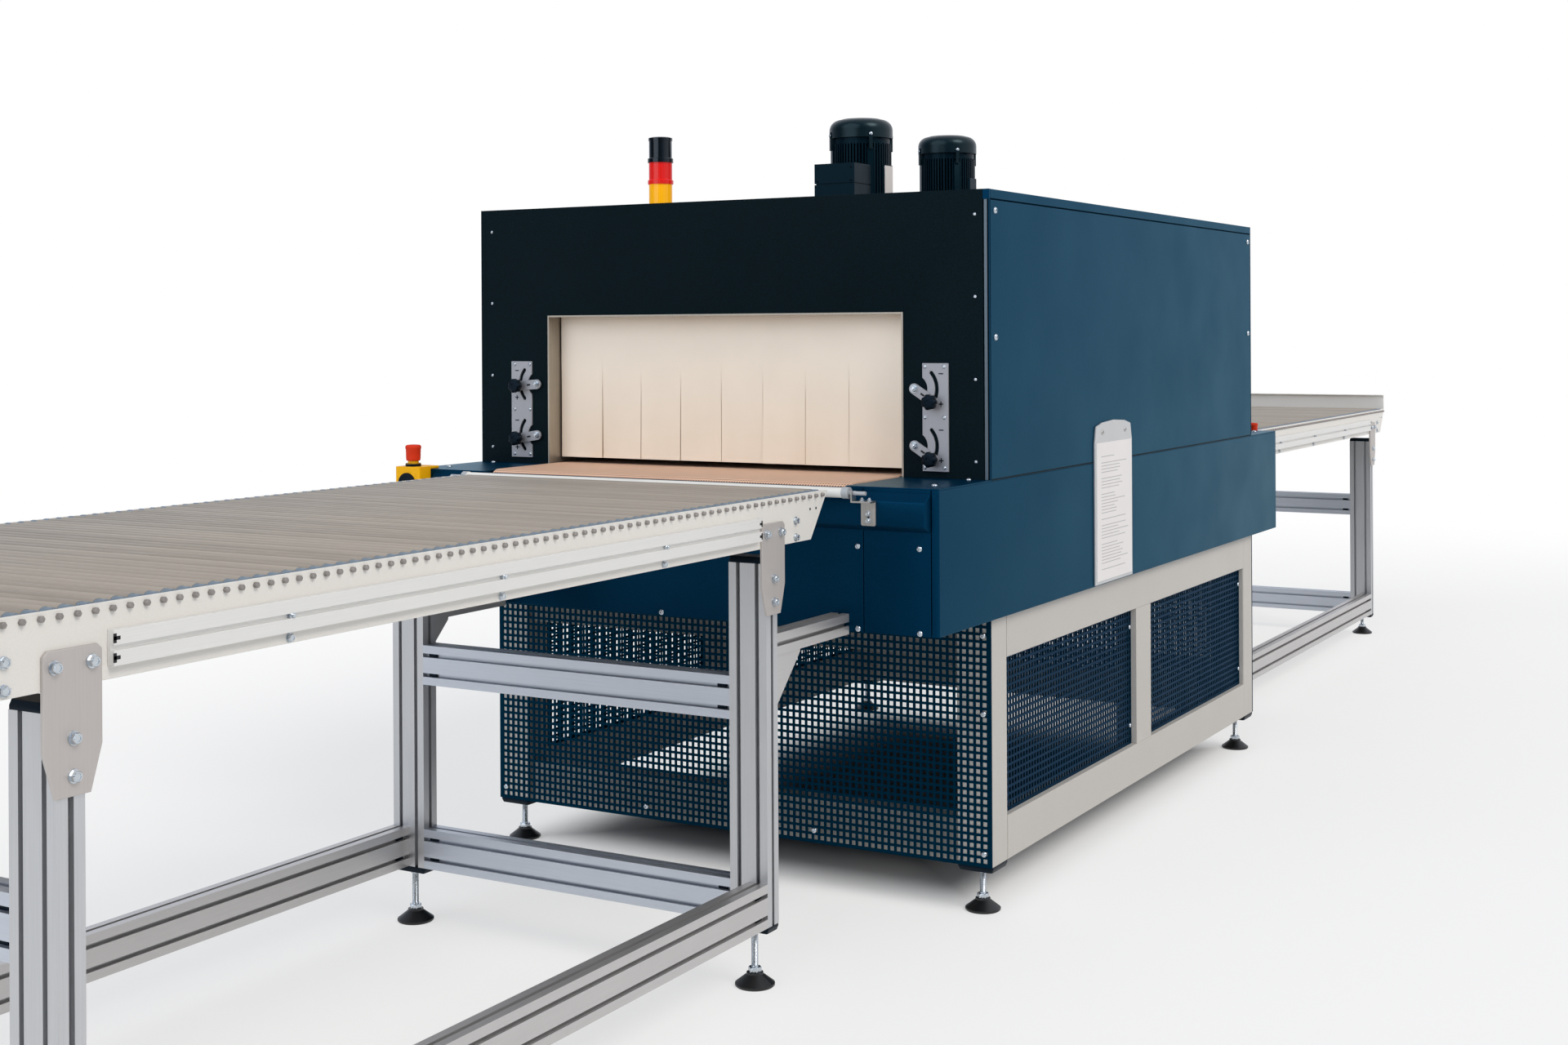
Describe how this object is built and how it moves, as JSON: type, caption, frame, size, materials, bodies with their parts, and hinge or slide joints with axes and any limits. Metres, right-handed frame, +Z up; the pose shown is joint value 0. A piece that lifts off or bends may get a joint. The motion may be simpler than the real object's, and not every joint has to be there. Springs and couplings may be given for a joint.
{
  "type": "heat shrink tunnel",
  "caption": "Heat shrink tunnel with a belt through a curtained hood, fan motors on the roof, adjusting levers, and roller tables docked at both ends.",
  "frame": {"origin": "on the floor, midway along the line and midway across it", "axes": "+Y along the line in the direction of travel, +X to the right seen from the infeed end, +Z up"},
  "size_m": [1.3275, 6.672, 1.729],
  "materials": {
    "blue_paint": "satin powder coat",
    "black_paint": "fine textured powder coat",
    "grey_paint": "satin paint on square tube",
    "white_paint": "satin paint on folded sheet",
    "stainless": "brushed sheet",
    "zinc": "zinc plated studs and nuts",
    "aluminium": "anodised slotted profile",
    "black_plastic": "moulded",
    "roller_grey": "grey roller tube",
    "roller_white": "white roller tube",
    "belt": "coated glass cloth",
    "curtain": "coated glass cloth, cut in strips",
    "lever": "steel arm with a black star knob",
    "amber": "translucent lens",
    "lens_red": "translucent lens",
    "motor_black": "satin black",
    "yellow": "moulded box",
    "stop_red": "moulded button",
    "clear_grey": "moulded document pocket",
    "sheet_white": "ruled sheet"
  },
  "bodies": {
    "line_body": {"frame_posts": "grey_paint", "frame_rails": "grey_paint", "end_caps": "black_plastic", "foot_studs": "zinc", "foot_pads": "black_plastic", "end_guards": "blue_paint", "side_guards": "blue_paint", "housing_floor": "blue_paint", "housing_side_panels": "blue_paint", "housing_end_panels": "blue_paint", "nose_covers": "blue_paint", "decks": "blue_paint", "belt": "belt", "belt_bed": "stainless", "belt_drums": "stainless", "hood_side_panels": "blue_paint", "hood_roof": "blue_paint", "front_panel": "black_paint", "rear_panel": "black_paint", "corner_trims": "stainless", "chamber_lining": "stainless", "front_curtain": "curtain", "rear_curtain": "curtain", "adjuster_plates": "stainless", "signal_tower_body": "black_plastic", "signal_tower_amber": "amber", "signal_tower_red": "lens_red", "motor_bodies": "motor_black", "motor_cowls": "motor_black", "estop_boxes": "yellow", "document_holder": "clear_grey", "document_sheet": "sheet_white", "transfer_brackets": "stainless", "table_side_rails": "white_paint", "infeed_rollers": "roller_grey", "outfeed_rollers": "roller_grey", "table_side_beams": "aluminium", "table_legs": "aluminium", "table_cross_beams": "aluminium", "table_lower_beams": "aluminium", "leg_plates": "stainless", "dock_beams": "aluminium", "outfeed_end_stop": "white_paint"},
    "lever_right_upper": {"lever_right_upper": "lever"},
    "lever_right_lower": {"lever_right_lower": "lever"},
    "lever_left_upper": {"lever_left_upper": "lever"},
    "lever_left_lower": {"lever_left_lower": "lever"},
    "front_transfer_roller": {"front_transfer_roller": "roller_white"},
    "rear_transfer_roller": {"rear_transfer_roller": "roller_white"},
    "front_estop_button": {"front_estop_button": "stop_red"},
    "rear_estop_button": {"rear_estop_button": "stop_red"}
  },
  "joints": [
    {"name": "lever_right_upper_swing", "type": "hinge", "parent": "line_body", "child": "lever_right_upper", "pos_m": [0.486, -1.005, 1.084], "axis": [0, -1, 0], "range_deg": [-6, 70]},
    {"name": "lever_right_lower_swing", "type": "hinge", "parent": "line_body", "child": "lever_right_lower", "pos_m": [0.486, -1.005, 0.966], "axis": [0, -1, 0], "range_deg": [-6, 70]},
    {"name": "lever_left_upper_swing", "type": "hinge", "parent": "line_body", "child": "lever_left_upper", "pos_m": [-0.486, -1.005, 1.084], "axis": [0, 1, 0], "range_deg": [-34, 42]},
    {"name": "lever_left_lower_swing", "type": "hinge", "parent": "line_body", "child": "lever_left_lower", "pos_m": [-0.486, -1.005, 0.966], "axis": [0, 1, 0], "range_deg": [-29, 47]},
    {"name": "front_transfer_roller_spin", "type": "hinge", "parent": "line_body", "child": "front_transfer_roller", "pos_m": [0, -1.285, 0.889], "axis": [1, 0, 0], "continuous": true},
    {"name": "rear_transfer_roller_spin", "type": "hinge", "parent": "line_body", "child": "rear_transfer_roller", "pos_m": [0, 1.11, 0.889], "axis": [1, 0, 0], "continuous": true},
    {"name": "front_estop_button_push", "type": "slide", "parent": "line_body", "child": "front_estop_button", "axis": [0, 0, -1], "range_m": [0, 0.004]},
    {"name": "rear_estop_button_push", "type": "slide", "parent": "line_body", "child": "rear_estop_button", "axis": [0, 0, -1], "range_m": [0, 0.004]}
  ]
}
